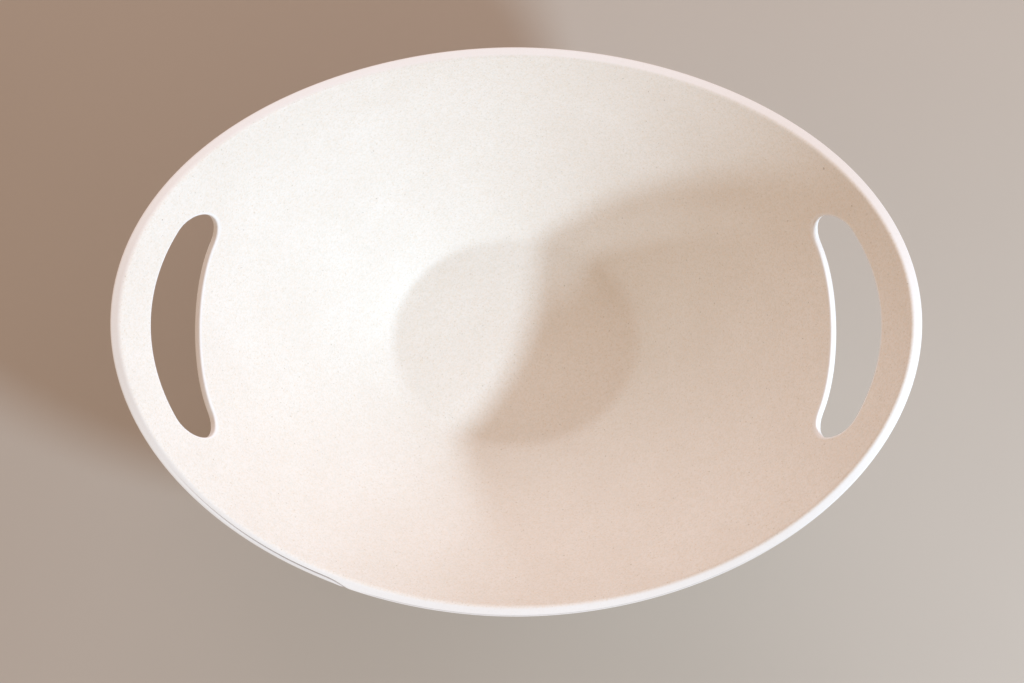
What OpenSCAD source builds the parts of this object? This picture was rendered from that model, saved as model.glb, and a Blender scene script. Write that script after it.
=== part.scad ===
// Oval serving bowl: one moulded shell with a saddle-shaped rim, a hand slot in each raised end and
// a foot ring, standing on four anti-slip pads. Millimetres, +Z up, +X towards the right-hand end,
// origin at the middle of the plane that the bowl rests on.

/* [Rim] */
// Length over the two raised ends of the rim
bowl_length = 380; // [350:5:420]
// Width over the two long sides of the rim
bowl_width = 288; // [260:4:320]
// Height of the rim above the table at the middle of each long side
side_height = 108; // [90:1:125]
// Height of the rim above the table at the two raised ends
end_height = 160; // [145:1:185]
// How late the rim starts to rise towards the ends
rim_sweep = 2.5; // [2:0.1:3.5]
// Radius on both edges of the rim
rim_rounding = 1.5; // [0.5:0.1:1.8]
// Drop of the rim's face from its inner to its outer edge
rim_fall = 0.8; // [0:0.1:1]

/* [Wall and floor] */
// Thickness of the moulded wall
wall = 4; // [3:0.25:5]
// How far the wall bellies outwards from a straight line
wall_belly = 4; // [0:0.5:6]
// Length of the flat oval floor
floor_length = 142; // [130:2:160]
// Width of the flat oval floor
floor_width = 120; // [106:2:130]
// Thickness of the floor
floor_thickness = 4; // [3:0.25:5]
// Radius between the floor and the wall
floor_fillet = 10; // [6:1:14]

/* [Hand slots] */
// Length of each hand slot, wide enough for four fingers
slot_length = 111; // [95:1:122]
// Height of a slot at its round ends, measured along the wall
slot_end_height = 22; // [16:1:24]
// Extra height at the middle of a slot, where its lower edge sags
slot_sag = 9.5; // [0:0.5:12]
// Grip left between the rim and a slot, measured along the wall
slot_drop = 19.5; // [15:0.5:24]

/* [Foot] */
// Height of the foot ring below the underside of the floor
foot_height = 3; // [2.5:0.25:4]
// Width of the foot ring
foot_width = 12; // [11:0.5:16]
// Step from the edge of the floor in to the foot ring
foot_step = 6; // [5:0.5:10]
// Radius on the edges that the foot ring stands on
foot_rounding = 0.8; // [0.4:0.1:1]

/* [Anti-slip pads] */
// Diameter of each pad
pad_diameter = 8; // [6:0.2:8.4]
// Thickness of each pad
pad_thickness = 2.6; // [2.2:0.1:3]
// How far a pad stands out below the foot ring
pad_proud = 1.2; // [0.8:0.1:1.6]
// Gap round a pad in its seat
pad_clearance = 0.1; // [0.05:0.05:0.2]
// Place of the pads round the foot ring, as an angle from the long axis
pad_angle = 45; // [30:5:60]

/* [Hidden] */

moulding_colour = "#F4EFE8";
pad_colour = "#A9A59D";

// Heights that follow from the pads and the foot ring
foot_z = pad_proud;
underside_z = foot_z + foot_height;
floor_z = underside_z + floor_thickness;

// The face of the rim is the wall's own thickness, cut level, so the slope makes it wider
rim_slant = 1.25;
rim_width = rim_slant * wall;
// Rounding cuts the rim's outer corner back, so the corner starts this far outside the real size
corner_share = 0.4;
corner_reach = corner_share * rim_rounding;
slot_end_radius = slot_end_height / 2;
slot_centre_drop = slot_drop + slot_end_radius;

// Half angle of a slot, from the half length of the wall's oval at the slot's height
slot_level = 0.82;
slot_oval = floor_width / 2 + slot_level * (bowl_width - floor_width) / 2;
slot_half_angle = asin(slot_length / 2 / slot_oval);

// Columns of the surface: close together near the ends of a slot, even along the sides
slot_steps = 22;
side_steps = 20;
side_sweep = 180 - 2 * slot_half_angle;
slot_columns = [for (i = [0 : slot_steps]) slot_half_angle * sin(180 * i / slot_steps - 90)];
side_columns = [for (i = [1 : side_steps - 1]) slot_half_angle + side_sweep * i / side_steps];
half_columns = concat(slot_columns, side_columns);
columns = concat(half_columns, [for (t = half_columns) t + 180]);

// Rows of the surface, counted from the floor up the inside and down the outside
fillet_rows = 3;
low_rows = 8;
high_rows = 3;
round_rows = 2;

function oval(half_length, half_width, t, z) = [half_length * cos(t), half_width * sin(t), z];
function unit(v) = v / norm(v);
function level(v) = [v.x, v.y, 0];
function blend(a, b, share) = a * (1 - share) + b * share;

// A curve from a to b that leaves and arrives along the lines through the corner
function curve(a, corner, b, share) = blend(blend(a, corner, share), blend(corner, b, share), share);

// A corner rounded between two neighbours, cut back by the same length along both
function rounded(before, corner, after, cut, rows) = [
    for (i = [0 : rows])
        curve(corner + cut * unit(before - corner), corner, corner + cut * unit(after - corner), i / rows)
];

// Saddle: the rim stays low along the sides and sweeps up to the ends
function rim_z(t) = side_height + (end_height - side_height) * pow(abs(cos(t)), rim_sweep);

// The two edges that the inside of the wall runs between
function floor_edge(t) = oval(floor_length / 2, floor_width / 2, t, floor_z);
function rim_inner(t) = oval(bowl_length / 2 - rim_width, bowl_width / 2 - rim_width, t, rim_z(t));
function rim_outer(t) =
    oval(bowl_length / 2 + corner_reach, bowl_width / 2 + corner_reach, t, rim_z(t) - rim_fall);
function slope_length(t) = norm(rim_inner(t) - floor_edge(t));

// Direction square to the straight slope, pointing outwards and down
function slope_normal(t) =
    let (slope = unit(rim_inner(t) - floor_edge(t)), outwards = unit(level(slope)))
    slope.z * outwards - [0, 0, norm(level(slope))];

// Inside of the wall: s runs from 0 at the floor to 1 at the rim
function wall_inside(t, s) =
    let (middle = blend(floor_edge(t), rim_inner(t), 0.5))
    curve(floor_edge(t), middle + 2 * wall_belly * slope_normal(t), rim_inner(t), s);

// Outside of the wall: the same surface moved out square to itself
nudge = 0.01;
function wall_normal(t, s) =
    let (along = wall_inside(t + nudge, s) - wall_inside(t - nudge, s))
    let (up = wall_inside(t, s + nudge) - wall_inside(t, s - nudge))
    unit(cross(along, up));
function wall_outside(t, s) = wall_inside(t, s) + wall * wall_normal(t, s);

// Place along a slot, from -1 at one end to 1 at the other, and beyond 1 outside it
function slot_place(t) = abs(sin(t)) * slot_oval / (slot_length / 2);

// Half height of the slot's round-ended outline, and the sag of its lower edge
function slot_half_height(place) =
    let (past = max(0, min(1, place) * slot_length / 2 - (slot_length / 2 - slot_end_radius)))
    sqrt(max(0, slot_end_radius * slot_end_radius - past * past));
sag_fullness = 1.5;
function slot_sag_at(place) = slot_sag * pow(max(0, 1 - place * place), sag_fullness);
function slot_top(t) =
    1 - (slot_centre_drop - slot_half_height(slot_place(t))) / slope_length(t);
function slot_bottom(t) =
    let (place = slot_place(t))
    1 - (slot_centre_drop + slot_half_height(place) + slot_sag_at(place)) / slope_length(t);

// The fillet between the floor and the wall uses up the same length of both
function wall_angle(t) = asin(unit(rim_inner(t) - floor_edge(t)).z);
function fillet_cut(t) = floor_fillet * tan(wall_angle(t) / 2);
function fillet_end(t) = fillet_cut(t) / slope_length(t);
function inwards(t) = unit(level(floor_edge(t) - rim_inner(t)));
function under_corner(t) =
    let (end = wall_outside(t, fillet_end(t)), slope = unit(wall_inside(t, fillet_end(t)) - floor_edge(t)))
    end - slope * (end.z - underside_z) / slope.z;

function fillet_inside(t) =
    let (start = floor_edge(t) + fillet_cut(t) * inwards(t), end = wall_inside(t, fillet_end(t)))
    [for (i = [0 : fillet_rows]) curve(start, floor_edge(t), end, i / fillet_rows)];

// Foot ring: ovals set in from the edge of the floor, with a little draft on both sides
foot_draft = 0.4;
function foot_oval(t, inset, z) = oval(floor_length / 2 - inset, floor_width / 2 - inset, t, z);

// The outer fillet stops before it reaches the foot ring
foot_margin = 0.9;
function fillet_outside(t) =
    let (start = wall_outside(t, fillet_end(t)), corner = under_corner(t))
    let (room = foot_margin * norm(corner - foot_oval(t, foot_step, underside_z)))
    let (end = corner + min(norm(start - corner), room) * inwards(t))
    [for (i = [1 : fillet_rows]) curve(start, corner, end, i / fillet_rows)];

function foot_section(t) =
    let (outer_top = foot_oval(t, foot_step, underside_z))
    let (outer_base = foot_oval(t, foot_step + foot_draft, foot_z))
    let (inner_base = foot_oval(t, foot_step + foot_width - foot_draft, foot_z))
    let (inner_top = foot_oval(t, foot_step + foot_width, underside_z))
    concat(
        [outer_top],
        rounded(outer_top, outer_base, inner_base, foot_rounding, round_rows),
        rounded(outer_base, inner_base, inner_top, foot_rounding, round_rows),
        [inner_top]
    );

// Steps of s on the wall below and above a slot
function low_step(t, i) = blend(fillet_end(t), slot_bottom(t), i / low_rows);
function high_step(t, i) = blend(slot_top(t), 1, i / high_rows);

// The parts of one column, in order from the floor over the rim to the foot ring
function inside_low(t) = concat(fillet_inside(t), [for (i = [1 : low_rows]) wall_inside(t, low_step(t, i))]);
function inside_high(t) = [for (i = [0 : high_rows - 1]) wall_inside(t, high_step(t, i))];
function rim_section(t) =
    let (below = wall_inside(t, high_step(t, high_rows - 1)))
    concat(
        rounded(below, rim_inner(t), rim_outer(t), rim_rounding, round_rows),
        rounded(rim_inner(t), rim_outer(t), wall_outside(t, 1), rim_rounding, round_rows)
    );
function outside_high(t) = [for (i = [high_rows : -1 : 0]) wall_outside(t, high_step(t, i))];
function outside_low(t) = [for (i = [low_rows : -1 : 0]) wall_outside(t, low_step(t, i))];
function column_points(t) = concat(
    inside_low(t),
    inside_high(t),
    rim_section(t),
    outside_high(t),
    outside_low(t),
    fillet_outside(t),
    foot_section(t)
);

// Rows that border a slot, inside and outside
inside_sill = len(inside_low(0)) - 1;
inside_head = inside_sill + 1;
outside_head = inside_sill + len(inside_high(0)) + len(rim_section(0)) + len(outside_high(0));
outside_sill = outside_head + 1;
last_row = len(column_points(0)) - 1;

// A column has an opening in it between the two ends of a slot; elsewhere its head lies on its sill
half_count = len(half_columns);
column_count = len(columns);
function is_open(i) = (i % half_count) > 0 && (i % half_count) < slot_steps;
function joined(row) = row == inside_head ? inside_sill : row == outside_head ? outside_sill : row;
function at(i, row) =
    let (column = i % column_count)
    column * (last_row + 1) + (is_open(column) ? row : joined(row));

// Two triangles across the gap between a column and the next, from one row to another
function strip(i, row, next_row) = [
    [at(i, row), at(i + 1, row), at(i + 1, next_row)],
    [at(i, row), at(i + 1, next_row), at(i, next_row)]
];

floor_centre = column_count * (last_row + 1);
underside_centre = floor_centre + 1;
shell_points = concat(
    [for (t = columns) each column_points(t)],
    [[0, 0, floor_z], [0, 0, underside_z]]
);
skin_rows = [for (row = [0 : last_row - 1]) if (row != inside_sill && row != outside_head) row];
skin_faces = [for (i = [0 : column_count - 1], row = skin_rows) each strip(i, row, row + 1)];
centre_faces = [for (i = [0 : column_count - 1]) each [
    [floor_centre, at(i + 1, 0), at(i, 0)],
    [underside_centre, at(i, last_row), at(i + 1, last_row)]
]];
slot_faces = [for (i = [0 : column_count - 1]) if (is_open(i) || is_open(i + 1)) each concat(
    strip(i, inside_sill, outside_sill),
    strip(i, outside_head, inside_head)
)];

// The shell as one closed skin, before the pad seats are sunk into its foot ring
module moulding() {
    polyhedron(points = shell_points, faces = concat(skin_faces, centre_faces, slot_faces), convexity = 6);
}

// Centre of a pad on the foot ring: end is 1 for right and -1 for left, side 1 for rear and -1 for front
function pad_centre(end, side) =
    let (place = foot_oval(pad_angle, foot_step + foot_width / 2, 0))
    [end * place.x, side * place.y, 0];

seat_diameter = pad_diameter + 2 * pad_clearance;
module pad_seats() {
    for (end = [-1, 1], side = [-1, 1])
        translate(pad_centre(end, side))
            cylinder(d = seat_diameter, h = pad_thickness, $fn = 48);
}

module bowl_shell() {
    color(moulding_colour)
        difference() {
            moulding();
            pad_seats();
        }
}

// Silicone pad: a disc with its standing edge chamfered
pad_chamfer = 0.5;
module foot_pad(end, side) {
    color(pad_colour)
        translate(pad_centre(end, side))
            rotate_extrude($fn = 48)
                polygon([
                    [0, 0],
                    [pad_diameter / 2 - pad_chamfer, 0],
                    [pad_diameter / 2, pad_chamfer],
                    [pad_diameter / 2, pad_thickness],
                    [0, pad_thickness]
                ]);
}

module foot_pad_front_left() { foot_pad(-1, -1); }
module foot_pad_front_right() { foot_pad(1, -1); }
module foot_pad_rear_left() { foot_pad(-1, 1); }
module foot_pad_rear_right() { foot_pad(1, 1); }

bowl_shell();
foot_pad_front_left();
foot_pad_front_right();
foot_pad_rear_left();
foot_pad_rear_right();
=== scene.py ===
# %% [markdown]
# # An oval serving bowl with two hand slots
#
# The real bowl is pressed in one shot from plant fibre and resin. Its rim dips along the sides and
# sweeps up to the ends, and a long slot through each raised end takes four fingers. Under it, four
# small silicone pads sit in the foot ring. This lesson builds the smooth moulding and its pads on top
# of the engineering model, which already fixes every place and size, and then gives them their finish.

import math

import bmesh
import bpy
import numpy as np
from mathutils import Matrix, Vector


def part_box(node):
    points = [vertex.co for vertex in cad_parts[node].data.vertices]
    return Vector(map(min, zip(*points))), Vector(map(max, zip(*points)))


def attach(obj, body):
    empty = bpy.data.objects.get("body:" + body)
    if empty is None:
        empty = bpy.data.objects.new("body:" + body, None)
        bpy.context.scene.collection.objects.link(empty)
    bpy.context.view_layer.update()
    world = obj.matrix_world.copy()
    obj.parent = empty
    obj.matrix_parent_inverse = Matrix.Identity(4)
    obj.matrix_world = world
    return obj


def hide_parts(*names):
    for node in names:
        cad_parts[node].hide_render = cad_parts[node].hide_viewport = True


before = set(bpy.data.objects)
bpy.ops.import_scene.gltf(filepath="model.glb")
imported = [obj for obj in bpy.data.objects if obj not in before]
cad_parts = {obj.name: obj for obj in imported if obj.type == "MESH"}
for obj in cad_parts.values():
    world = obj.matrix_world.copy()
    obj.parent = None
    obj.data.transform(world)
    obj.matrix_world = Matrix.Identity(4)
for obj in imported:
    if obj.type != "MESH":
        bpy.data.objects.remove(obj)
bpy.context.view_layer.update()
shell_low, shell_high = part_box("bowl_shell")

# %% [markdown]
# ## The sizes the bowl is drawn from
#
# A mould maker would note a bowl like this with a handful of sizes: the rim seen from above, its two
# heights, the flat oval floor, the wall and the slots. The outer sizes come from the model that was
# just loaded, so the looks can't drift away from it. The rest are the same sizes in metres.

# %% Driving sizes
MM = 0.001
half_length = shell_high.x
half_width = shell_high.y
end_height = shell_high.z
foot_z = shell_low.z
side_height = 108 * MM
rim_sweep = 2.5
wall = 4 * MM
wall_belly = 4 * MM
rim_width = 5 * MM
rim_fall = 0.8 * MM
rim_rounding = 1.5 * MM
floor_length = 142 * MM
floor_width = 120 * MM
floor_thickness = 4 * MM
floor_fillet = 10 * MM
foot_height = 3 * MM
underside_z = foot_z + foot_height
floor_z = underside_z + floor_thickness
print("floor inside at", round(floor_z / MM, 2), "mm")
print("rim from", side_height / MM, "to", round(end_height / MM, 1), "mm high")

# %% [markdown]
# ## The wall as a formula
#
# The wall could be pushed about by hand, but a pressed bowl is a clean loft between two ovals: the
# edge of the floor and the edge of the rim. Each upright section is a soft curve between them. A
# point on the wall needs two numbers, the turn round the bowl in degrees and the share of the way up,
# and NumPy works them out for a whole row of points at once.


# %% Ovals and curves
def oval(half_x, half_y, turn, z):
    """Points of a level oval, one for each turn in degrees."""
    turn, z = np.broadcast_arrays(np.radians(turn), z)
    return np.stack([half_x * np.cos(turn), half_y * np.sin(turn), z], axis=-1)


def unit(v):
    return v / np.linalg.norm(v, axis=-1, keepdims=True)


def blend(a, b, share):
    return a * (1 - share) + b * share


def curve(start, corner, end, share):
    """A curve that leaves and arrives along the lines through the corner."""
    share = np.asarray(share)[..., None]
    return blend(blend(start, corner, share), blend(corner, end, share), share)


# %% The two edges of the wall and the wall between them
# A rounded corner cuts its own tip off, so the oval of the tips stands out by this much.
corner_reach = 0.36 * rim_rounding


def rim_z(turn):
    return side_height + (end_height - side_height) * np.abs(np.cos(np.radians(turn))) ** rim_sweep


def floor_edge(turn):
    return oval(floor_length / 2, floor_width / 2, turn, floor_z)


def rim_inner(turn):
    return oval(half_length - rim_width, half_width - rim_width, turn, rim_z(turn))


def rim_outer(turn):
    return oval(half_length + corner_reach, half_width + corner_reach, turn, rim_z(turn) - rim_fall)


def slope_length(turn):
    return np.linalg.norm(rim_inner(turn) - floor_edge(turn), axis=-1)


def wall_inside(turn, share):
    low, high = floor_edge(turn), rim_inner(turn)
    slope = unit(high - low)
    level = slope * [1, 1, 0]
    square = slope[..., 2:] * unit(level) - np.linalg.norm(level, axis=-1, keepdims=True) * [0, 0, 1]
    return curve(low, (low + high) / 2 + 2 * wall_belly * square, high, share)


def wall_square(turn, share):
    """Direction square to the wall, from the inside to the outside."""
    step = 0.01
    along = wall_inside(turn + step, share) - wall_inside(turn - step, share)
    up = wall_inside(turn, share + step) - wall_inside(turn, share - step)
    return unit(np.cross(along, up))


def in_wall(turn, drop, depth):
    """A point that lies drop below the rim along the wall, and depth into its thickness."""
    turn, drop = np.broadcast_arrays(np.asarray(turn, float), drop)
    share = 1 - drop / slope_length(turn)
    return wall_inside(turn, share) + np.asarray(depth)[..., None] * wall_square(turn, share)


print("wall from floor to rim in mm:", [round(float(slope_length(turn)) / MM) for turn in (0.0, 90.0)])

# %% [markdown]
# ## Columns and rows
#
# The skin is one grid wrapped round the bowl: columns stand side by side round it, and rows run from
# the middle of the floor up the inside, over the rim and down the outside to the foot. Each row is
# just a list of points, one for each column. Extra columns stand close together where a mark in the
# rim runs out.

# %% Columns
column_step = 1.5
mark_end = 245.5
close_columns = np.arange(mark_end - 7, mark_end + 2, 0.25)
columns = np.unique(np.concatenate([np.arange(0, 360, column_step), close_columns]))
print(len(columns), "columns")

# %% Rows: floor, fillet and inside of the wall
slot_band_top = 8 * MM
slot_band_bottom = 64 * MM


def wall_angle(turn):
    return np.arcsin(unit(rim_inner(turn) - floor_edge(turn))[..., 2])


def fillet_cut(turn):
    return floor_fillet * np.tan(wall_angle(turn) / 2)


def inwards(turn):
    return unit((floor_edge(turn) - rim_inner(turn)) * [1, 1, 0])


fillet_share = fillet_cut(columns) / slope_length(columns)
fillet_start = floor_edge(columns) + fillet_cut(columns)[:, None] * inwards(columns)
fillet_stop = wall_inside(columns, fillet_share)
band_share = 1 - slot_band_bottom / slope_length(columns)

floor_rows = [blend(np.array([0, 0, floor_z]), fillet_start, k) for k in (0.25, 0.5, 0.75, 0.93, 1.0)]
fillet_rows = [
    curve(fillet_start, floor_edge(columns), fillet_stop, np.full(len(columns), k / 8)) for k in range(1, 9)
]
low_shares = [blend(fillet_share, band_share, k / 24) for k in range(1, 24)]
band_drops = np.linspace(slot_band_bottom, slot_band_top, 15)
top_drops = np.array([6.3, 4.8, 3.5, 2.4]) * MM
inside_rows = (
    floor_rows
    + fillet_rows
    + [wall_inside(columns, share) for share in low_shares]
    + [in_wall(columns, drop, 0.0) for drop in band_drops]
    + [in_wall(columns, drop, 0.0) for drop in top_drops]
)
band_inside = len(floor_rows) + len(fillet_rows) + len(low_shares)
print(len(inside_rows), "rows inside")

# %% [markdown]
# ## The rim
# The rim is the wall cut level, with both edges rounded. Where the two halves of the press tool meet, a
# fine line runs round it. It was dressed by hand, so along one stretch at the front left the outer
# half of the rim sits a little lower behind a small groove, which curves out over the edge where it
# ends. It is real geometry, and the shade in it is painted as well: each point keeps a note of how
# much shade is painted there, darkest in the groove, less on the fine line and a little on the lowered
# step, for the finish to read later.


# %% Rounded corners
def rounded(before, corner, after, cut, steps):
    """Rows round a corner that is cut back by the same length on both sides."""
    start = corner + cut * unit(before - corner)
    end = corner + cut * unit(after - corner)
    return [curve(start, corner, end, np.full(len(corner), k / steps)) for k in range(steps + 1)]


corner_steps = 7
below_rim = in_wall(columns, 20 * MM, 0.0)
wall_top = in_wall(columns, 0.0, wall)
rim_in_corner = rounded(below_rim, rim_inner(columns), rim_outer(columns), rim_rounding, corner_steps)
rim_out_corner = rounded(rim_inner(columns), rim_outer(columns), wall_top, rim_rounding, corner_steps)
face_shares = np.linspace(0, 1, 26)[1:-1]
rim_face = [blend(rim_in_corner[-1], rim_out_corner[0], k) for k in face_shares]
rim_rows = rim_in_corner + rim_face + rim_out_corner
print(len(rim_rows), "rows over the rim")


# %% The dressed stretch of the rim
def ramp(value, low, high):
    share = np.clip((value - low) / (high - low), 0, 1)
    return share * share * (3 - 2 * share)


def hump(value, middle, half):
    return np.clip(1 - ((value - middle) / half) ** 2, 0, 1) ** 2


mark_start = 206
mark_full = 238
groove_depth = 0.7 * MM
step_depth = 0.3 * MM
line_depth = 0.22 * MM


def rim_relief(turn, across):
    """Depths of the groove, the lowered step and the fine line, across running from 0 inside to 1."""
    worked = ramp(turn, mark_start, mark_full) * (turn < mark_end + 1)
    run_out = ramp(turn, mark_end - 7, mark_end + 0.5)
    groove_at = 0.5 + 0.06 * ramp(turn, 205, 236) + 0.56 * run_out**2
    plain = ramp(turn, mark_end, mark_end + 4) * (1 - ramp(turn, 300, 330))
    groove = groove_depth * worked * (1 - 0.6 * run_out) * hump(across, groove_at, 0.09)
    step = step_depth * worked * (1 - run_out) * ramp(across, groove_at - 0.03, groove_at + 0.02)
    line = line_depth * plain * hump(across, 0.78, 0.06)
    return groove, step, line


across_rim = rim_outer(columns) - rim_inner(columns)
rim_breadth = np.linalg.norm(across_rim, axis=1)
down_wall = unit(in_wall(columns, 1 * MM, 0.0) - rim_inner(columns))
relieved_rows = []
groove_shade_rows = []
deepest = 0.0
for row in rim_rows:
    across = ((row - rim_inner(columns)) * across_rim).sum(axis=1) / rim_breadth**2
    groove, step, line = rim_relief(columns, across)
    relieved_rows.append(row + (groove + step + line)[:, None] * down_wall)
    # Painted shade: darkest in the groove, less on the fine line and a little on the lowered step.
    groove_shade_rows.append(np.clip((groove + 1.5 * line + 0.3 * step) / groove_depth, 0, 1))
    deepest = max(deepest, float(groove.max()))
rim_rows = relieved_rows
print("deepest place of the groove in the rim:", round(deepest / MM, 2), "mm")

# %% [markdown]
# ## Outside and foot ring
#
# The outside follows the inside at the thickness of the wall. Below, it turns under in a wide fillet
# and meets the foot ring, the small ring that keeps the bowl off the table. The ring has a slight
# draft, so that it leaves the tool, and rounded edges.

# %% Rows: outside of the wall
foot_step = 6 * MM
foot_width = 12 * MM
foot_draft = 0.4 * MM
foot_rounding = 0.8 * MM


def foot_oval(turn, inset, z):
    return oval(floor_length / 2 - inset, floor_width / 2 - inset, turn, z)


outside_start = fillet_stop + wall * wall_square(columns, fillet_share)
slope_down = unit(fillet_stop - floor_edge(columns))
under_corner = outside_start - slope_down * ((outside_start[:, 2:] - underside_z) / slope_down[:, 2:])
under_end = under_corner + np.linalg.norm(outside_start - under_corner, axis=1)[:, None] * inwards(columns)
outside_rows = (
    [in_wall(columns, drop, wall) for drop in (0.8 * MM, 2.0 * MM, 3.6 * MM, 5.6 * MM)]
    + [in_wall(columns, drop, wall) for drop in band_drops[::-1]]
    + [wall_inside(columns, share) + wall * wall_square(columns, share) for share in low_shares[::-1]]
    + [outside_start]
    + [curve(outside_start, under_corner, under_end, np.full(len(columns), k / 8)) for k in range(1, 9)]
)
band_outside = 4
print(len(outside_rows), "rows outside")

# %% Rows: foot ring and the recess inside it
outer_top = foot_oval(columns, foot_step, underside_z)
outer_base = foot_oval(columns, foot_step + foot_draft, foot_z)
inner_base = foot_oval(columns, foot_step + foot_width - foot_draft, foot_z)
inner_top = foot_oval(columns, foot_step + foot_width, underside_z)
recess = [0, 0, underside_z]
under_rows = [blend(under_end, outer_top, 0.5)]
under_rows += rounded(under_end, outer_top, outer_base, 0.35 * MM, 3)
foot_outer = rounded(outer_top, outer_base, inner_base, foot_rounding, 5)
foot_inner = rounded(outer_base, inner_base, inner_top, foot_rounding, 5)
foot_flat = [blend(foot_outer[-1], foot_inner[0], k / 8) for k in range(1, 8)]
recess_rows = rounded(inner_base, inner_top, inner_top * [0.5, 0.5, 1], 0.6 * MM, 4)
recess_rows += [blend(inner_top, np.array(recess), k) for k in (0.06, 0.3, 0.6, 0.85)]
foot_rows = under_rows + foot_outer + foot_flat + foot_inner + recess_rows
print(len(foot_rows), "rows under the bowl")

# %% [markdown]
# ## Holes in a grid
#
# A hole could be cut with a Boolean, but that leaves long thin faces that shade badly. Instead a
# patch of the grid is left out, and rings of points lead from its square outline to the outline of
# the hole. Each ring has as many points as the outline of the patch, so the faces stay four-sided.


# %% A skin that collects points and faces
class Skin:
    """Points and faces of a mesh. Rows and rings are arrays of point numbers."""

    def __init__(self):
        self.points = []
        self.marks = {"sanded_and_painted_light": [], "groove_shade": []}
        self.faces = []

    def add(self, points, sanded_and_painted_light=0.0, groove_shade=0.0):
        """Adds points with two marks: one is 1 where the moulding was sanded and is painted lighter, the
        other is 1 where shade is painted into the rim's groove.
        """
        first = len(self.points)
        self.points.extend(np.asarray(points).reshape(-1, 3).tolist())
        count = len(self.points) - first
        self.marks["sanded_and_painted_light"].extend(np.broadcast_to(sanded_and_painted_light, count).tolist())
        self.marks["groove_shade"].extend(np.broadcast_to(groove_shade, count).tolist())
        return np.arange(first, len(self.points))

    def join(self, ring, following, closed=True):
        count = len(ring)
        for i in range(count if closed else count - 1):
            j = (i + 1) % count
            self.faces.append((ring[i], ring[j], following[j], following[i]))

    def fan(self, ring, centre):
        middle = self.add([centre])[0]
        for i in range(len(ring)):
            self.faces.append((ring[i], ring[(i + 1) % len(ring)], middle))


def patch_outline(first_row, last_row, first_column, last_column, count):
    """Grid places once round a patch: along its first row, up, back along its last row, and down."""
    wide = list(range(first_column, last_column))
    tall = list(range(first_row, last_row))
    places = [(first_row, c) for c in wide]
    places += [(r, last_column) for r in tall]
    places += [(last_row, c) for c in range(last_column, first_column, -1)]
    places += [(r, first_column) for r in range(last_row, first_row, -1)]
    return [(r, c % count) for r, c in places]


# %% The grid of the whole shell
rows = inside_rows + rim_rows + outside_rows + foot_rows
first_rim = len(inside_rows)
first_outside = first_rim + len(rim_rows)
first_foot = first_outside + len(outside_rows)
skin = Skin()
# The rim rows carry the sanded mark, which is also painted lighter and eases in round the inner corner; they
# also carry the painted groove shade worked out above.
row_sanded_and_painted_light = np.zeros(len(rows))
row_sanded_and_painted_light[first_rim:first_outside] = 1.0
inner_corner = np.arange(corner_steps + 1)
row_sanded_and_painted_light[first_rim + inner_corner] = ramp(inner_corner / corner_steps, 0.45, 1)
row_groove_shade = [0.0] * first_rim + groove_shade_rows + [0.0] * (len(rows) - first_outside)
grid = np.array([skin.add(*row) for row in zip(rows, row_sanded_and_painted_light, row_groove_shade)])
cut_out = np.zeros((len(rows), len(columns)), bool)
print("grid of", grid.shape[0], "rows and", grid.shape[1], "columns")

# %% [markdown]
# ## Hand slots
#
# Seen square to the wall, a slot is a long hole with round ends. Its upper edge keeps level with the
# rim, so the grip has one width, and its lower edge sags in the middle to make room for the knuckles.
# It is punched straight through the wall and both edges are broken with a small radius, because
# fingers carry the whole load here.

# %% Slot sizes and outline
slot_half_length = 55.5 * MM
slot_end_radius = 11 * MM
slot_sag = 9.5 * MM
slot_drop = 19.5 * MM
slot_centre_drop = slot_drop + slot_end_radius
slot_rounding = 0.8 * MM
# Half the bowl's width at the height of the slots, which turns a place along a slot into degrees.
slot_oval = 0.18 * floor_width / 2 + 0.82 * half_width
# Degrees that the patch reaches each way from the middle of a slot, and degrees of each round end
# that lie on the patch's short sides.
slot_reach = 31.5
end_sweep = 50


def slot_edge(along, side):
    """Distance from the slot's centre line to its upper edge, or with side -1 to its lower edge."""
    past = np.maximum(0, np.abs(along) - (slot_half_length - slot_end_radius))
    half = np.sqrt(np.maximum(0, slot_end_radius**2 - past**2))
    sag = slot_sag * np.maximum(0, 1 - (along / slot_half_length) ** 2) ** 1.5
    return half if side > 0 else -half - sag


def slot_outline(patch):
    """A point of the slot's outline for each point of the patch round it."""
    corner_along = slot_half_length - slot_end_radius * (1 - math.cos(math.radians(end_sweep)))
    low, high = patch.min(axis=0), patch.max(axis=0)
    outline = []
    for along, up in patch:
        place = 2 * (up - low[1]) / (high[1] - low[1]) - 1
        if abs(along) < high[0] - 1e-6:
            x = along / high[0] * corner_along
            outline.append((x, slot_edge(x, place)))
            continue
        angle = math.radians(end_sweep * place)
        x = slot_half_length - slot_end_radius * (1 - math.cos(angle))
        sag = slot_sag * max(0, 1 - (x / slot_half_length) ** 2) ** 1.5 if place < 0 else 0
        outline.append((math.copysign(x, along), slot_end_radius * math.sin(angle) - sag))
    return np.array(outline)


def away_from(outline):
    """Directions in the plane that point away from a closed outline, square to it."""
    along = unit(np.roll(outline, -1, axis=0) - np.roll(outline, 1, axis=0))
    sideways = np.stack([along[:, 1], -along[:, 0]], axis=-1)
    return sideways if (sideways * outline).sum() > 0 else -sideways


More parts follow.
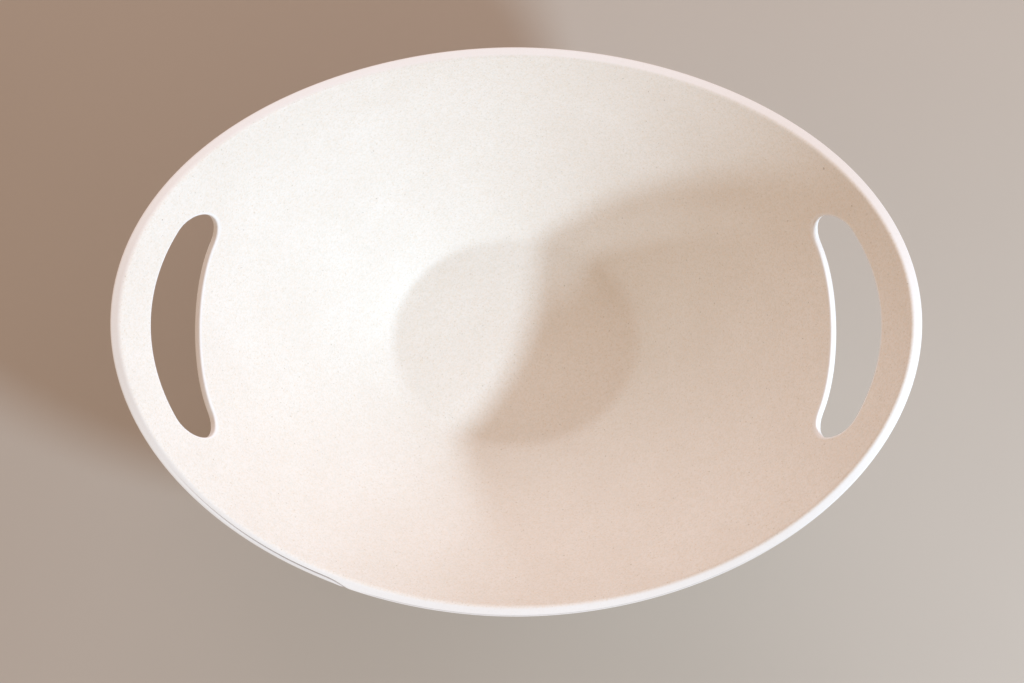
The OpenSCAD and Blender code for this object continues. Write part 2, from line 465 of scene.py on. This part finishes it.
# %% Cut a slot into the grid
def cut_slot(end_turn):
    reach = round(slot_reach / column_step)
    centre = int(np.argmin(np.abs(columns - end_turn)))
    last_row = band_inside + len(band_drops) - 1
    places = patch_outline(band_inside, last_row, centre - reach, centre + reach, len(columns))
    side = 1 if end_turn == 0 else -1
    along = [side * slot_oval * math.sin(math.radians(columns[c])) for r, c in places]
    up = [slot_centre_drop - band_drops[r - band_inside] for r, c in places]
    patch = np.stack([along, up], axis=-1)
    outline = slot_outline(patch)
    away = away_from(outline)

    def on_slot(flat, depth):
        turn = end_turn + np.degrees(np.arcsin(flat[:, 0] / slot_oval))
        return in_wall(turn, slot_centre_drop - flat[:, 1], np.full(len(flat), depth))

    def spread(share):
        """From the broken edge of the slot at 0 to the patch at 1."""
        return blend(outline + slot_rounding * away, patch, share)

    spread_shares = (0.78, 0.58, 0.4, 0.25, 0.13, 0.05)
    edge_angles = np.radians(np.linspace(90, 0, 6))
    loops = [np.array([grid[r, c] for r, c in places])]
    loops += [skin.add(on_slot(spread(k), 0.0)) for k in spread_shares]
    # The broken edges and the cut face of a slot carry the sanded mark, which is also painted lighter.
    for angle in edge_angles:
        flat = outline + slot_rounding * (1 - math.cos(angle)) * away
        loops.append(skin.add(on_slot(flat, slot_rounding * (1 - math.sin(angle))), 1.0))
    for depth in (0.35, 0.5, 0.65):
        loops.append(skin.add(on_slot(outline, depth * wall), 1.0))
    for angle in edge_angles[::-1]:
        flat = outline + slot_rounding * (1 - math.cos(angle)) * away
        loops.append(skin.add(on_slot(flat, wall - slot_rounding * (1 - math.sin(angle))), 1.0))
    loops += [skin.add(on_slot(spread(k), wall)) for k in spread_shares[::-1]]
    outside = first_outside + band_outside + len(band_drops) - 1
    loops.append(np.array([grid[outside - (r - band_inside), c] for r, c in places]))
    for ring, following in zip(loops, loops[1:]):
        skin.join(ring, following)
    for r in range(len(band_drops) - 1):
        for c in range(centre - reach, centre + reach):
            cut_out[band_inside + r, c % len(columns)] = True
            cut_out[first_outside + band_outside + r, c % len(columns)] = True
    return len(outline)


print("points round a slot:", [cut_slot(turn) for turn in (0.0, 180.0)])

# %% [markdown]
# ## Seats for the pads
#
# Each silicone pad is pressed into a blind round seat in the foot ring. The seats use the same trick:
# a patch of the ring's flat is left out and rings lead to a circle, down its wall and to its bottom.

# %% Cut the seats
pad_radius = 4 * MM
pad_thickness = 2.6 * MM
pad_clearance = 0.1 * MM
pad_angle = 45
seat_radius = pad_radius + pad_clearance
seat_edge = 0.25 * MM
seat_reach = 5
flat_first = first_foot + len(under_rows) + len(foot_outer) - 1


def pad_centre(turn):
    corner = foot_oval(np.array(pad_angle), foot_step + foot_width / 2, 0.0)
    x = math.copysign(corner[0], math.cos(math.radians(turn)))
    y = math.copysign(corner[1], math.sin(math.radians(turn)))
    return np.array([x, y, 0.0])


def cut_seat(turn):
    middle = int(np.argmin(np.abs(columns - turn)))
    flat_last = flat_first + len(foot_flat) + 1
    places = patch_outline(flat_first, flat_last, middle - seat_reach, middle + seat_reach, len(columns))
    patch = np.array([skin.points[grid[r, c]] for r, c in places])
    centre = pad_centre(turn)
    out = unit((patch - centre) * [1, 1, 0])
    edge = centre + (seat_radius + seat_edge) * out + [0, 0, foot_z]
    loops = [np.array([grid[r, c] for r, c in places])]
    loops += [skin.add(blend(patch, edge, k)) for k in (0.4, 0.8)]
    for angle in np.radians(np.linspace(90, 0, 4)):
        radius = seat_radius + seat_edge * (1 - math.cos(angle))
        loops.append(skin.add(centre + radius * out + [0, 0, foot_z + seat_edge * (1 - math.sin(angle))]))
    for z in (foot_z + 0.7 * MM, pad_thickness):
        loops.append(skin.add(centre + seat_radius * out + [0, 0, z]))
    loops.append(skin.add(centre + 0.5 * seat_radius * out + [0, 0, pad_thickness]))
    for ring, following in zip(loops, loops[1:]):
        skin.join(ring, following)
    skin.fan(loops[-1], centre + [0, 0, pad_thickness])
    for r in range(flat_first, flat_last):
        for c in range(middle - seat_reach, middle + seat_reach):
            cut_out[r, c % len(columns)] = True


pad_turns = {"rear_right": 45.0, "rear_left": 135.0, "front_left": 225.0, "front_right": 315.0}
for turn in pad_turns.values():
    cut_seat(turn)
print("seats at", [tuple(np.round(pad_centre(t)[:2] / MM, 1)) for t in pad_turns.values()])

# %% Close the skin and make the shell
for r in range(len(rows) - 1):
    for c in range(len(columns)):
        if not cut_out[r, c]:
            nxt = (c + 1) % len(columns)
            skin.faces.append((grid[r, c], grid[r, nxt], grid[r + 1, nxt], grid[r + 1, c]))
skin.fan(grid[0], [0, 0, floor_z])
skin.fan(grid[-1], recess)
print("skin of", len(skin.faces), "faces")


def make_piece(name, skin_of_piece, node):
    mesh = bpy.data.meshes.new(name)
    mesh.from_pydata(skin_of_piece.points, [], [tuple(int(i) for i in face) for face in skin_of_piece.faces])
    work = bmesh.new()
    work.from_mesh(mesh)
    bmesh.ops.recalc_face_normals(work, faces=work.faces)
    open_edges = sum(1 for edge in work.edges if not edge.is_manifold)
    work.to_mesh(mesh)
    work.free()
    mesh.shade_smooth()
    for mark, shares in skin_of_piece.marks.items():
        mesh.attributes.new(mark, "FLOAT", "POINT").data.foreach_set("value", shares)
    piece = bpy.data.objects.new(name, mesh)
    bpy.context.scene.collection.objects.link(piece)
    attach(piece, "root")
    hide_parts(node)
    print(name, "has", len(mesh.vertices), "points, open edges:", open_edges)
    return piece


shell = make_piece("bowl_moulding", skin, "bowl_shell")

# %% [markdown]
# ## Silicone pads
#
# A pad is a small moulded disc. It is turned like a lathe part: a profile from the middle of its
# underside, round a soft edge, up its side with two gripping ribs and to the flat top that meets the
# seat. A shallow dimple in the middle keeps it from rocking.

# %% Turn the pads
pad_sides = 48
pad_profile = [
    (0.25, 0.30), (0.45, 0.27), (0.58, 0.16), (0.66, 0.05), (0.74, 0.0), (0.84, 0.0),
    (0.90, 0.05), (0.95, 0.16), (0.985, 0.34), (1.0, 0.56), (1.0, 0.95), (0.985, 1.25),
    (1.0, 1.45), (1.0, 1.6), (0.985, 1.8), (1.0, 2.0), (1.0, 2.2), (0.97, 2.5),
    (0.92, 2.6), (0.5, 2.6),
]


def make_pad(place, turn):
    pad = Skin()
    around = np.linspace(0, 2 * np.pi, pad_sides, endpoint=False)
    disc = np.stack([np.cos(around), np.sin(around), np.zeros(pad_sides)], axis=-1)
    centre = pad_centre(turn)
    rings = [pad.add(centre + share * pad_radius * disc + [0, 0, z * MM]) for share, z in pad_profile]
    for ring, following in zip(rings, rings[1:]):
        pad.join(ring, following)
    pad.fan(rings[0], centre + [0, 0, 0.31 * MM])
    pad.fan(rings[-1], centre + [0, 0, pad_thickness])
    return make_piece("pad_" + place, pad, "foot_pad_" + place)


pads = [make_pad(place, turn) for place, turn in pad_turns.items()]

# %% [markdown]
# ## Shader maths as plain expressions
#
# A finish is a net of small nodes. Wrapping a socket in a class lets the net be written the way one
# would write the sum on paper, and every operator adds the Math node it stands for.


# %% A wire and a finish
class Wire:
    """A number on its way through a material. Operators add Math nodes."""

    def __init__(self, finish, socket):
        self.finish = finish
        self.socket = socket

    def maths(self, operation, *values):
        return self.finish.node("ShaderNodeMath", {"operation": operation}, dict(enumerate(values)))

    def __add__(self, other):
        return self.maths("ADD", self, other)

    def __radd__(self, other):
        return self.maths("ADD", other, self)

    def __sub__(self, other):
        return self.maths("SUBTRACT", self, other)

    def __rsub__(self, other):
        return self.maths("SUBTRACT", other, self)

    def __mul__(self, other):
        return self.maths("MULTIPLY", self, other)

    def __rmul__(self, other):
        return self.maths("MULTIPLY", other, self)

    def ramp(self, low, high):
        """0 below low, 1 above high, and a soft step between; low may be the larger."""
        settings = {"interpolation_type": "SMOOTHSTEP"}
        if low < high:
            return self.finish.node("ShaderNodeMapRange", settings, {"Value": self, 1: low, 2: high})
        return 1 - self.finish.node("ShaderNodeMapRange", settings, {"Value": self, 1: high, 2: low})


class Finish:
    """A material under construction."""

    def __init__(self, name):
        self.material = bpy.data.materials.new(name)
        self.material.use_nodes = True
        self.tree = self.material.node_tree
        self.surface = self.tree.nodes["Principled BSDF"]

    def node(self, kind, settings=None, sockets=None, output=0):
        made = self.tree.nodes.new(kind)
        for key, value in (settings or {}).items():
            setattr(made, key, value)
        for key, value in (sockets or {}).items():
            self.feed(made.inputs[key], value)
        return Wire(self, made.outputs[output])

    def feed(self, socket, value):
        if isinstance(value, Wire):
            self.tree.links.new(value.socket, socket)
        else:
            socket.default_value = value

    def mix(self, amount, first, second):
        """Colour that goes from first to second as amount goes from 0 to 1."""
        sockets = {0: amount, 6: first, 7: second}
        return self.node("ShaderNodeMix", {"data_type": "RGBA"}, sockets, output=2)

    def scaled(self, vector, factors):
        return self.node("ShaderNodeVectorMath", {"operation": "MULTIPLY"}, {0: vector, 1: factors})

    def noise(self, vector, size, detail=2.0, roughness=0.5):
        sockets = {"Vector": vector, "Scale": 1 / size, "Detail": detail, "Roughness": roughness}
        return self.node("ShaderNodeTexNoise", None, sockets)

    def bump(self, height, distance, strength=1.0):
        sockets = {"Height": height, "Distance": distance, "Strength": strength}
        return self.node("ShaderNodeBump", None, sockets)

    def set(self, **inputs):
        for name, value in inputs.items():
            self.feed(self.surface.inputs[name.replace("_", " ")], value)
        return self.material


# %% [markdown]
# ## The pressed fibre finish
#
# The moulding is cream and matt. Looked at closely it is full of tiny flecks, the ends of plant fibres:
# most are pale tan, some grey or olive, and here and there one is darker or long enough to see as a
# thread. Between them the paste itself is grainy, each fibre end a shade warmer or cooler than the
# next. Every kind of fleck is a field of scattered cells, of which only some hold one. They lie just
# under a thin resin skin, which is very slightly uneven. Where the rim and the slots were trimmed and
# sanded, the skin is gone: the surface there is duller and finely scratched, and it is painted whiter
# and cooler as painted light. The groove of the rim is painted brown as painted shade.


# %% Flecks
def linear(red, green, blue):
    """A screen colour, in parts of 255, as the linear colour that shaders use."""
    return tuple(((v / 255 + 0.055) / 1.055) ** 2.4 for v in (red, green, blue)) + (1,)


def flecks(finish, place, cell, size, chance):
    """Soft spots of the given size, in the given share of cells."""
    sockets = {"Vector": place, "Scale": 1 / cell, "Randomness": 1.0}
    distance = finish.node("ShaderNodeTexVoronoi", None, sockets)
    dice = finish.node("ShaderNodeTexVoronoi", None, sockets, output=1)
    chosen = finish.node("ShaderNodeSeparateColor", None, {0: dice})
    spread = finish.node("ShaderNodeSeparateColor", None, {0: dice}, output=1)
    radius = size / cell * (0.45 + 0.75 * spread)
    return (radius - distance).ramp(0.0, 0.35 * size / cell) * chosen.ramp(chance + 0.01, chance)


# %% Grain of the moulding
moulded = Finish("pressed_fibre_cream")
place = moulded.node("ShaderNodeTexCoord", None, None, output=3)
wander_sockets = {"Vector": place, "Scale": 1 / (1.6 * MM), "Detail": 1.0}
wander = moulded.node("ShaderNodeTexNoise", None, wander_sockets, output=1)
bend = {"operation": "MULTIPLY_ADD"}
strayed = moulded.node("ShaderNodeVectorMath", bend, {0: wander, 1: (0.7 * MM,) * 3, 2: place})
drawn_out = moulded.scaled(strayed, (1.0, 0.28, 0.45))

cloud = moulded.noise(place, 38 * MM, 3.0)
tone = moulded.mix(cloud.ramp(0.3, 0.7), linear(244, 240, 234), linear(247, 244, 239))
ends_sockets = {"Vector": strayed, "Scale": 1 / (0.72 * MM)}
fibre_ends = moulded.node("ShaderNodeTexVoronoi", None, ends_sockets, output=1)
warm_share = moulded.node("ShaderNodeSeparateColor", None, {0: fibre_ends})
cool_share = moulded.node("ShaderNodeSeparateColor", None, {0: fibre_ends}, output=1)
tone = moulded.mix(0.26 * warm_share.ramp(0.35, 1.0), tone, linear(234, 218, 194))
tone = moulded.mix(0.22 * cool_share.ramp(0.4, 1.0), tone, linear(214, 217, 208))
grain = moulded.noise(place, 1.1 * MM, 2.0, 0.6)
tone = moulded.mix(0.3 * grain.ramp(0.45, 0.8), tone, linear(226, 219, 208))

# %% Flecks of the moulding
fleck_kinds = [
    # cell, radius and chance of a fleck, how strong it is, and its colour
    (1.5, 0.36, 0.50, 0.30, (206, 184, 150)),
    (2.3, 0.36, 0.42, 0.26, (160, 154, 142)),
    (3.6, 0.40, 0.34, 0.34, (146, 136, 104)),
    (8.5, 0.40, 0.22, 0.50, (104, 84, 64)),
]
for cell, radius, chance, strength, colour in fleck_kinds:
    amount = strength * flecks(moulded, strayed, cell * MM, radius * MM, chance)
    tone = moulded.mix(amount, tone, linear(*colour))
    print("flecks of", radius, "mm in", round(100 * chance), "of every 100 cells of", cell, "mm")
threads = flecks(moulded, drawn_out, 7.5 * MM, 0.30 * MM, 0.14)
tone = moulded.mix(0.42 * threads, tone, linear(142, 116, 88))

# %% Skin, sanded edges painted lighter, and painted shade in the rim's groove
sanded_and_painted_light = moulded.node("ShaderNodeAttribute", {"attribute_name": "sanded_and_painted_light"}, None, output=2)
groove_shade = moulded.node("ShaderNodeAttribute", {"attribute_name": "groove_shade"}, None, output=2)
scratches = moulded.noise(place, 0.35 * MM, 3.0, 0.7)
# Painted light: the sanded rim and slot edges are painted whiter and cooler.
tone = moulded.mix(sanded_and_painted_light * (0.6 + 0.3 * scratches), tone, linear(248, 249, 250))
# Painted shade: brown in the rim's groove, on its fine line and on the lowered step.
tone = moulded.mix(groove_shade * (0.7 + 0.3 * grain), tone, linear(128, 98, 78))
skin_height = moulded.noise(place, 5.5 * MM, 2.0) + 0.25 * moulded.noise(place, 0.5 * MM, 1.0)
moulded.set(
    Base_Color=tone,
    Roughness=0.44 + 0.12 * cloud + 0.06 * grain + 0.14 * sanded_and_painted_light,
    Specular_IOR_Level=0.42,
    Normal=moulded.bump(skin_height + 0.2 * sanded_and_painted_light * scratches, 0.045 * MM),
)
shell.data.materials.append(moulded.material)
print("moulding finish has", len(moulded.tree.nodes), "nodes")

# %% [markdown]
# ## Silicone
#
# Silicone is dull and a little dusty: a warm grey with a fine dry grain, rougher than the moulding,
# and paler where it has picked up lint.

# %% Finish of the pads
silicone = Finish("warm_grey_silicone")
place = silicone.node("ShaderNodeTexCoord", None, None, output=3)
dust = silicone.noise(place, 1.4 * MM, 4.0, 0.65)
dry_grain = silicone.noise(place, 0.12 * MM, 2.0)
rubber_tone = silicone.mix(dust.ramp(0.4, 0.75), linear(156, 152, 144), linear(176, 172, 164))
silicone.set(
    Base_Color=rubber_tone,
    Roughness=0.62 + 0.2 * dust,
    Specular_IOR_Level=0.35,
    Normal=silicone.bump(dry_grain + dust, 0.02 * MM, 0.8),
)
for pad in pads:
    pad.data.materials.append(silicone.material)
print("silicone finish has", len(silicone.tree.nodes), "nodes")

# %% [markdown]
# ## Floor, light and camera
#
# The bowl stands on a plain pale floor. A small soft lamp to the right, a little in front and not very
# high, lights the far wall and leaves the near one in its own shadow, which shows how deep the bowl
# is; a thin streak of its light comes through the right-hand slot. A large weak lamp behind lifts the
# front wall, and the warm sky fills the rest. The camera hangs almost straight above.

# %% Floor
floor_mesh = bpy.data.meshes.new("studio_floor")
reach = 20.0
floor_corners = [(-reach, -reach, 0), (reach, -reach, 0), (reach, reach, 0), (-reach, reach, 0)]
floor_mesh.from_pydata(floor_corners, [], [(0, 1, 2, 3)])
floor = bpy.data.objects.new("studio_floor", floor_mesh)
bpy.context.scene.collection.objects.link(floor)
paper = Finish("pale_floor")
place = paper.node("ShaderNodeTexCoord", None, None, output=3)
mottle = paper.noise(place, 0.25, 3.0)
floor_tone = paper.mix(mottle, linear(186, 178, 168), linear(192, 184, 174))
floor_mesh.materials.append(paper.set(Base_Color=floor_tone, Roughness=0.85, Specular_IOR_Level=0.1))


# %% Lamps and sky
def aim(thing, place, target, up):
    """Puts a lamp or camera in place, looking at the target, with its top towards up."""
    back = (Vector(place) - Vector(target)).normalized()
    right = Vector(up).cross(back).normalized()
    thing.location = place
    thing.rotation_euler = Matrix((right, back.cross(right), back)).transposed().to_euler()


light_target = (0, 0, 60 * MM)


def lamp(name, turn, height, distance, breadth, depth, watts, colour):
    light = bpy.data.lights.new(name, "AREA")
    light.shape = "ELLIPSE"
    light.size = breadth
    light.size_y = depth
    light.energy = watts
    light.color = colour
    holder = bpy.data.objects.new(name, light)
    bpy.context.scene.collection.objects.link(holder)
    turn, height = math.radians(turn), math.radians(height)
    flat = distance * math.cos(height)
    place = (flat * math.cos(turn), flat * math.sin(turn), distance * math.sin(height))
    aim(holder, place, light_target, (0, 0, 1))
    return holder


key_lamp = lamp("key_lamp", -31.5, 38, 1.5, 0.27, 0.08, 17.7, (0.62, 0.82, 1.0))
fill_lamp = lamp("fill_lamp", 90, 30, 1.5, 1.0, 1.0, 6.6, (1.0, 0.90, 1.0))
for holder in (key_lamp, fill_lamp):
    print(holder.name, "stands at", [round(v, 2) for v in holder.location], "m")
world = bpy.data.worlds.new("soft_sky")
bpy.context.scene.world = world
world.use_nodes = True
world.node_tree.nodes["Background"].inputs["Color"].default_value = (1.0, 0.735, 0.55, 1)
world.node_tree.nodes["Background"].inputs["Strength"].default_value = 0.545

# %% Camera
camera_data = bpy.data.cameras.new("camera")
camera_data.lens = 50
camera_data.sensor_width = 36
camera = bpy.data.objects.new("camera", camera_data)
bpy.context.scene.collection.objects.link(camera)
bpy.context.scene.camera = camera
aim(camera, (-6.4 * MM, -53.4 * MM, 821.5 * MM), (-1.3 * MM, 0.3 * MM, 0), (0, 1, 0))
bpy.context.scene.view_settings.view_transform = "Standard"
print("camera", [round(v, 3) for v in camera.location], "m")
